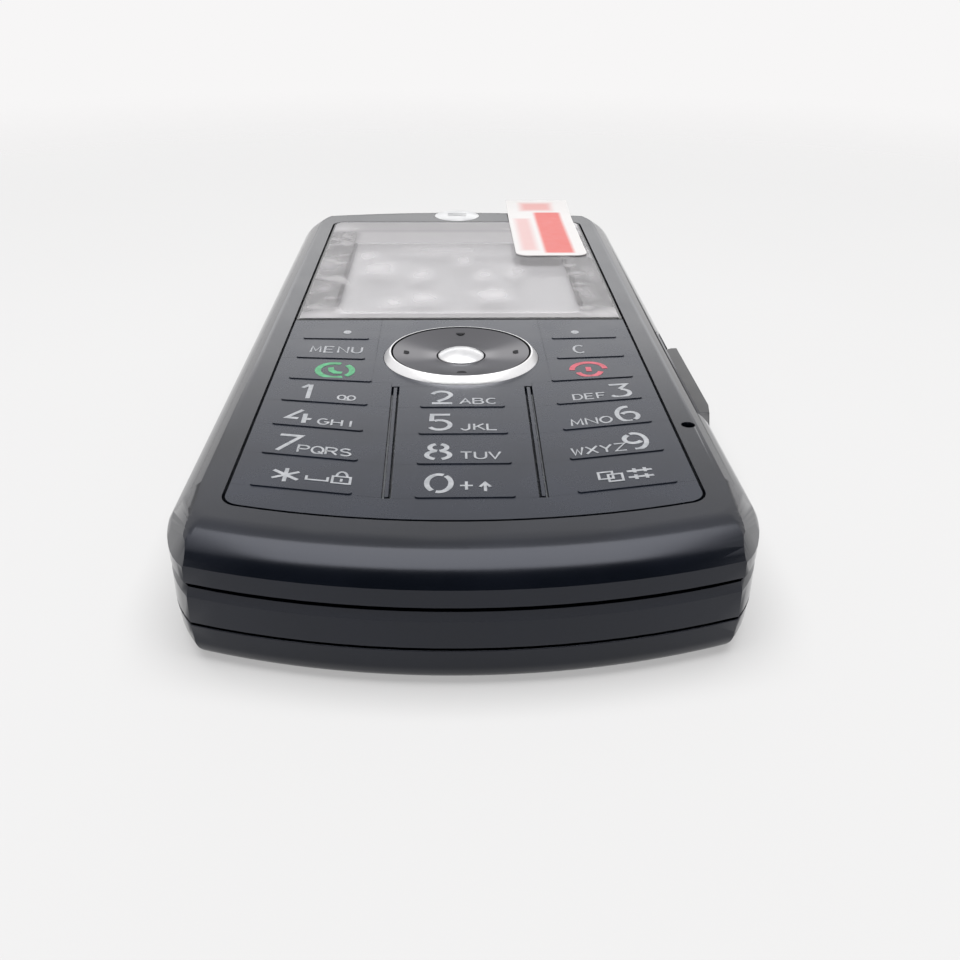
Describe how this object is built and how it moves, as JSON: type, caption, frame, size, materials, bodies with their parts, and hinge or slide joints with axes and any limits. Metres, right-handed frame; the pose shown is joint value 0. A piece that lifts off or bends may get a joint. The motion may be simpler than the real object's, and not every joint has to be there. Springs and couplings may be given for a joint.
{
  "type": "bar phone",
  "caption": "Slim bar phone in three moulded bands, with a display under a filmed lens, tilted key rows, a round navigation key, a hinged side port cover and a lift-off battery door.",
  "frame": {"origin": "middle of the back, on the surface that the phone rests on", "axes": "+Z out of the screen, +Y from the keypad to the earpiece, +X to the right as it is read"},
  "size_m": [0.0501, 0.1138, 0.0124],
  "materials": {
    "shell_paint": "satin dark navy paint on moulded plastic",
    "key_sheet": "satin dark navy metallic",
    "bright_trim": "bright plated",
    "gloss_ring": "dark gloss",
    "lens_glass": "clear gloss",
    "film": "clear film with trapped air",
    "tab": "white printed film",
    "soft_rubber": "soft matt",
    "display": "display glass, off",
    "board": "solder mask",
    "screen_can": "bare sheet",
    "contact": "plated contacts",
    "battery_case": "wrapped cell",
    "inner_plastic": "moulded",
    "weight": "sintered"
  },
  "bodies": {
    "root": {"front_housing": "shell_paint", "middle_housing": "shell_paint", "rear_cover": "shell_paint", "keypad_plate": "key_sheet", "divider_bars": "key_sheet", "nav_bezel": "bright_trim", "earpiece_grille": "bright_trim", "camera_ring": "bright_trim", "display_lens": "lens_glass", "camera_lens": "lens_glass", "screen_film": "film", "film_tab": "tab", "keypad_mat": "soft_rubber", "display_gasket": "soft_rubber", "display_module": "display", "main_board": "board", "shield_cans": "screen_can", "sim_holder": "screen_can", "data_socket": "screen_can", "case_screws": "screen_can", "vibration_motor": "screen_can", "dome_sheet": "screen_can", "microphone": "screen_can", "battery_contacts": "contact", "side_switches": "contact", "battery": "battery_case", "antenna_carrier": "inner_plastic", "earpiece_receiver": "inner_plastic", "loudspeaker": "inner_plastic", "camera_module": "inner_plastic"},
    "soft_key_left": {"soft_key_left": "key_sheet"},
    "soft_key_right": {"soft_key_right": "key_sheet"},
    "menu_key": {"menu_key": "key_sheet"},
    "clear_key": {"clear_key": "key_sheet"},
    "send_key": {"send_key": "key_sheet"},
    "end_key": {"end_key": "key_sheet"},
    "key_1": {"key_1": "key_sheet"},
    "key_2": {"key_2": "key_sheet"},
    "key_3": {"key_3": "key_sheet"},
    "key_4": {"key_4": "key_sheet"},
    "key_5": {"key_5": "key_sheet"},
    "key_6": {"key_6": "key_sheet"},
    "key_7": {"key_7": "key_sheet"},
    "key_8": {"key_8": "key_sheet"},
    "key_9": {"key_9": "key_sheet"},
    "key_star": {"key_star": "key_sheet"},
    "key_0": {"key_0": "key_sheet"},
    "key_hash": {"key_hash": "key_sheet"},
    "select_key": {"select_key": "bright_trim"},
    "nav_rocker": {"nav_rocker": "soft_rubber"},
    "nav_key": {"nav_key": "gloss_ring"},
    "volume_key": {"volume_key": "shell_paint"},
    "shot_key": {"shot_key": "shell_paint"},
    "port_cover": {"port_cover": "soft_rubber"},
    "battery_door": {"battery_door": "shell_paint"},
    "door_latch": {"door_latch": "shell_paint"},
    "motor_weight": {"motor_weight": "weight"}
  },
  "joints": [
    {"name": "soft_key_left_press", "type": "slide", "parent": "root", "child": "soft_key_left", "axis": [0, 0, -1], "range_m": [0, 0.00025], "stiffness_N_per_m": 1500, "springref_m": -0.0001},
    {"name": "soft_key_right_press", "type": "slide", "parent": "root", "child": "soft_key_right", "axis": [0, 0, -1], "range_m": [0, 0.00025], "stiffness_N_per_m": 1500, "springref_m": -0.0001},
    {"name": "menu_key_press", "type": "slide", "parent": "root", "child": "menu_key", "axis": [0, 0, -1], "range_m": [0, 0.00025], "stiffness_N_per_m": 1500, "springref_m": -0.0001},
    {"name": "clear_key_press", "type": "slide", "parent": "root", "child": "clear_key", "axis": [0, 0, -1], "range_m": [0, 0.00025], "stiffness_N_per_m": 1500, "springref_m": -0.0001},
    {"name": "send_key_press", "type": "slide", "parent": "root", "child": "send_key", "axis": [0, 0, -1], "range_m": [0, 0.00025], "stiffness_N_per_m": 1500, "springref_m": -0.0001},
    {"name": "end_key_press", "type": "slide", "parent": "root", "child": "end_key", "axis": [0, 0, -1], "range_m": [0, 0.00025], "stiffness_N_per_m": 1500, "springref_m": -0.0001},
    {"name": "key_1_press", "type": "slide", "parent": "root", "child": "key_1", "axis": [0, 0, -1], "range_m": [0, 0.00025], "stiffness_N_per_m": 1500, "springref_m": -0.0001},
    {"name": "key_2_press", "type": "slide", "parent": "root", "child": "key_2", "axis": [0, 0, -1], "range_m": [0, 0.00025], "stiffness_N_per_m": 1500, "springref_m": -0.0001},
    {"name": "key_3_press", "type": "slide", "parent": "root", "child": "key_3", "axis": [0, 0, -1], "range_m": [0, 0.00025], "stiffness_N_per_m": 1500, "springref_m": -0.0001},
    {"name": "key_4_press", "type": "slide", "parent": "root", "child": "key_4", "axis": [0, 0, -1], "range_m": [0, 0.00025], "stiffness_N_per_m": 1500, "springref_m": -0.0001},
    {"name": "key_5_press", "type": "slide", "parent": "root", "child": "key_5", "axis": [0, 0, -1], "range_m": [0, 0.00025], "stiffness_N_per_m": 1500, "springref_m": -0.0001},
    {"name": "key_6_press", "type": "slide", "parent": "root", "child": "key_6", "axis": [0, 0, -1], "range_m": [0, 0.00025], "stiffness_N_per_m": 1500, "springref_m": -0.0001},
    {"name": "key_7_press", "type": "slide", "parent": "root", "child": "key_7", "axis": [0, 0, -1], "range_m": [0, 0.00025], "stiffness_N_per_m": 1500, "springref_m": -0.0001},
    {"name": "key_8_press", "type": "slide", "parent": "root", "child": "key_8", "axis": [0, 0, -1], "range_m": [0, 0.00025], "stiffness_N_per_m": 1500, "springref_m": -0.0001},
    {"name": "key_9_press", "type": "slide", "parent": "root", "child": "key_9", "axis": [0, 0, -1], "range_m": [0, 0.00025], "stiffness_N_per_m": 1500, "springref_m": -0.0001},
    {"name": "key_star_press", "type": "slide", "parent": "root", "child": "key_star", "axis": [0, 0, -1], "range_m": [0, 0.00025], "stiffness_N_per_m": 1500, "springref_m": -0.0001},
    {"name": "key_0_press", "type": "slide", "parent": "root", "child": "key_0", "axis": [0, 0, -1], "range_m": [0, 0.00025], "stiffness_N_per_m": 1500, "springref_m": -0.0001},
    {"name": "key_hash_press", "type": "slide", "parent": "root", "child": "key_hash", "axis": [0, 0, -1], "range_m": [0, 0.00025], "stiffness_N_per_m": 1500, "springref_m": -0.0001},
    {"name": "select_key_press", "type": "slide", "parent": "root", "child": "select_key", "axis": [0, 0, -1], "range_m": [0, 0.00025], "stiffness_N_per_m": 1500, "springref_m": -0.0001},
    {"name": "nav_tip_rows", "type": "hinge", "parent": "root", "child": "nav_rocker", "pos_m": [0, -0.0141, 0.0108], "axis": [1, 0, 0], "range_deg": [-2, 2], "stiffness_Nm_per_rad": 0.05},
    {"name": "nav_tip_columns", "type": "hinge", "parent": "nav_rocker", "child": "nav_key", "pos_m": [0, -0.0141, 0.0108], "axis": [0, 1, 0], "range_deg": [-2, 2], "stiffness_Nm_per_rad": 0.05},
    {"name": "volume_rock", "type": "hinge", "parent": "root", "child": "volume_key", "pos_m": [-0.023, 0.021, 0.0053], "axis": [0, 0, 1], "range_deg": [-1.8, 1.8], "stiffness_Nm_per_rad": 0.05},
    {"name": "shot_key_press", "type": "slide", "parent": "root", "child": "shot_key", "axis": [1, 0, 0], "range_m": [0, 0.00025], "stiffness_N_per_m": 1500, "springref_m": -0.0001},
    {"name": "port_cover_swing", "type": "hinge", "parent": "root", "child": "port_cover", "pos_m": [0.02455, -0.0066, 0.0068], "axis": [0, 0, 1], "range_deg": [0, 90]},
    {"name": "battery_door_lift", "type": "slide", "parent": "root", "child": "battery_door", "axis": [0, 0, -1], "range_m": [0, 0.012]},
    {"name": "door_latch_slide", "type": "slide", "parent": "root", "child": "door_latch", "axis": [0, 1, 0], "range_m": [0, 0.0015], "stiffness_N_per_m": 300, "springref_m": -0.0005},
    {"name": "motor_weight_spin", "type": "hinge", "parent": "root", "child": "motor_weight", "pos_m": [0.0145, 0.0445, 0.0033], "axis": [0, 1, 0], "continuous": true}
  ]
}
